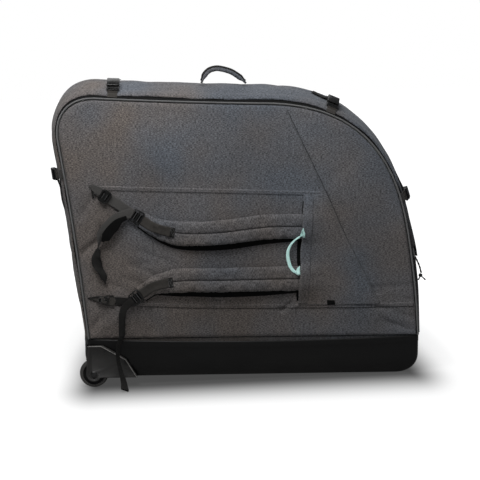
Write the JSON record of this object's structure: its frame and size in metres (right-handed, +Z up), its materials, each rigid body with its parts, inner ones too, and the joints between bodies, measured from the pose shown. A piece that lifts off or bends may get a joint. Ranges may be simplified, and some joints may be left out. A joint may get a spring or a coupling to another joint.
{
  "type": "bike travel case",
  "caption": "Soft-sided wheeled bicycle travel case: padded fabric shell on a tarpaulin base, zip-down front with stowable shoulder straps, compression buckles and a top handle.",
  "frame": {"origin": "centre of the base's flat underside", "axes": "+X along the case, away from the wheels; +Y to the back, so that the front which unzips faces -Y; +Z up"},
  "size_m": [0.9903, 0.3196, 0.8404],
  "materials": {
    "heather_fabric": "woven melange polyester, matte",
    "black_tarpaulin": "smooth coated tarpaulin, satin",
    "zip_tape": "coated zip tape, matte",
    "piping": "woven piping, satin",
    "webbing": "woven nylon webbing",
    "strap_padding": "padded melange fabric, matte",
    "buckle_plastic": "moulded acetal, satin",
    "housing_plastic": "moulded plastic, fine texture",
    "board_plastic": "sheet plastic",
    "padding_foam": "lined foam sheet",
    "mint_webbing": "tubular webbing, mint green",
    "pull_cord": "braided cord",
    "wheel_tyre": "solid polyurethane, satin",
    "wheel_hub": "moulded nylon",
    "steel": "plated steel"
  },
  "bodies": {
    "case": {"base_tub": "black_tarpaulin", "base_board": "board_plastic", "hinge_tape": "webbing", "gusset": "heather_fabric", "gusset_foam": "padding_foam", "back_panel": "heather_fabric", "back_foam": "padding_foam", "back_piping": "piping", "zip_tape_case": "zip_tape", "wheel_housing_front": "housing_plastic", "wheel_housing_rear": "housing_plastic", "axle_bolt_front": "steel", "axle_bolt_rear": "steel", "inner_strap_1": "webbing", "inner_strap_2": "webbing", "cam_buckle_1": "buckle_plastic", "cam_buckle_2": "buckle_plastic", "buckle_socket_left": "buckle_plastic", "buckle_socket_top_left": "buckle_plastic", "buckle_socket_top_right": "buckle_plastic", "buckle_socket_right": "buckle_plastic", "rear_webbing_left": "webbing", "rear_webbing_top_left": "webbing", "rear_webbing_top_right": "webbing", "rear_webbing_right": "webbing"},
    "lid": {"front_panel": "heather_fabric", "front_foam": "padding_foam", "front_piping": "piping", "zip_tape_lid": "zip_tape", "stow_pocket": "heather_fabric", "strap_hook_upper": "buckle_plastic", "strap_hook_lower": "buckle_plastic", "front_webbing_left": "webbing", "front_webbing_top_left": "webbing", "front_webbing_top_right": "webbing", "front_webbing_right": "webbing"},
    "wheel_front": {"tyre_front": "wheel_tyre", "wheel_hub_front": "wheel_hub"},
    "wheel_rear": {"tyre_rear": "wheel_tyre", "wheel_hub_rear": "wheel_hub"},
    "top_handle": {"top_handle": "webbing"},
    "haul_loop": {"haul_loop": "mint_webbing"},
    "zip_slider": {"zip_slider": "buckle_plastic"},
    "zip_pull": {"zip_pull": "steel", "zip_cord": "pull_cord", "zip_cord_knot": "pull_cord"},
    "shoulder_strap_upper": {"shoulder_strap_upper": "strap_padding", "strap_webbing_upper": "webbing"},
    "shoulder_strap_lower": {"shoulder_strap_lower": "strap_padding", "strap_webbing_lower": "webbing"},
    "ladder_lock_upper": {"ladder_lock_upper": "buckle_plastic"},
    "ladder_lock_lower": {"ladder_lock_lower": "buckle_plastic"},
    "buckle_tongue_left": {"buckle_tongue_left": "buckle_plastic"},
    "buckle_tongue_top_left": {"buckle_tongue_top_left": "buckle_plastic"},
    "buckle_tongue_top_right": {"buckle_tongue_top_right": "buckle_plastic"},
    "buckle_tongue_right": {"buckle_tongue_right": "buckle_plastic"}
  },
  "joints": [
    {"name": "lid_open", "type": "hinge", "parent": "case", "child": "lid", "pos_m": [0, -0.1153, 0.10515], "axis": [1, 0, 0], "range_deg": [0, 90]},
    {"name": "wheel_front_spin", "type": "hinge", "parent": "case", "child": "wheel_front", "pos_m": [-0.425, -0.106, 0.012], "axis": [0, 1, 0], "continuous": true},
    {"name": "wheel_rear_spin", "type": "hinge", "parent": "case", "child": "wheel_rear", "pos_m": [-0.425, 0.106, 0.012], "axis": [0, 1, 0], "continuous": true},
    {"name": "top_handle_swing", "type": "hinge", "parent": "case", "child": "top_handle", "pos_m": [-0.077, -0.028, 0.7839], "axis": [1, 0, 0], "range_deg": [-70, 70], "stiffness_Nm_per_rad": 0.05},
    {"name": "buckle_left_release", "type": "slide", "parent": "lid", "child": "buckle_tongue_left", "axis": [0.1909, -0.9812, 0.028], "range_m": [0, 0.03], "deforming": ["front_webbing_left"]},
    {"name": "buckle_top_left_release", "type": "slide", "parent": "lid", "child": "buckle_tongue_top_left", "axis": [-0.0136, -0.8529, -0.5219], "range_m": [0, 0.03], "deforming": ["front_webbing_top_left"]},
    {"name": "buckle_top_right_release", "type": "slide", "parent": "lid", "child": "buckle_tongue_top_right", "axis": [-0.1801, -0.8748, -0.4497], "range_m": [0, 0.03], "deforming": ["front_webbing_top_right"]},
    {"name": "buckle_right_release", "type": "slide", "parent": "lid", "child": "buckle_tongue_right", "axis": [-0.2554, -0.9634, -0.0815], "range_m": [0, 0.03], "deforming": ["front_webbing_right"]},
    {"name": "zip_slider_run", "type": "slide", "parent": "case", "child": "zip_slider", "axis": [-0.1708, 0, 0.9853], "range_m": [0, 0.06]},
    {"name": "zip_pull_swing", "type": "hinge", "parent": "zip_slider", "child": "zip_pull", "pos_m": [0.4231, -0.10172, 0.33773], "axis": [-0.3624, -0.9299, -0.0628], "range_deg": [0, 90]},
    {"name": "haul_loop_swing", "type": "hinge", "parent": "lid", "child": "haul_loop", "pos_m": [0.1245, -0.14624, 0.297], "axis": [0.0353, 0, 0.9994], "range_deg": [0, 90]},
    {"name": "shoulder_strap_upper_swing", "type": "hinge", "parent": "lid", "child": "shoulder_strap_upper", "pos_m": [0.1182, -0.14194, 0.403], "axis": [0, 0, 1], "range_deg": [0, 10], "deforming": ["strap_webbing_upper"]},
    {"name": "ladder_lock_upper_tilt", "type": "hinge", "parent": "shoulder_strap_upper", "child": "ladder_lock_upper", "pos_m": [-0.29428, -0.14636, 0.4226], "axis": [0.5422, -0.036, 0.8395], "range_deg": [0, 30]},
    {"name": "shoulder_strap_lower_swing", "type": "hinge", "parent": "lid", "child": "shoulder_strap_lower", "pos_m": [0.1182, -0.14194, 0.266], "axis": [0, 0, 1], "range_deg": [0, 10], "deforming": ["strap_webbing_lower"]},
    {"name": "ladder_lock_lower_tilt", "type": "hinge", "parent": "shoulder_strap_lower", "child": "ladder_lock_lower", "pos_m": [-0.29898, -0.1448, 0.22772], "axis": [-0.5937, 0.0382, 0.8038], "range_deg": [0, 30]}
  ]
}
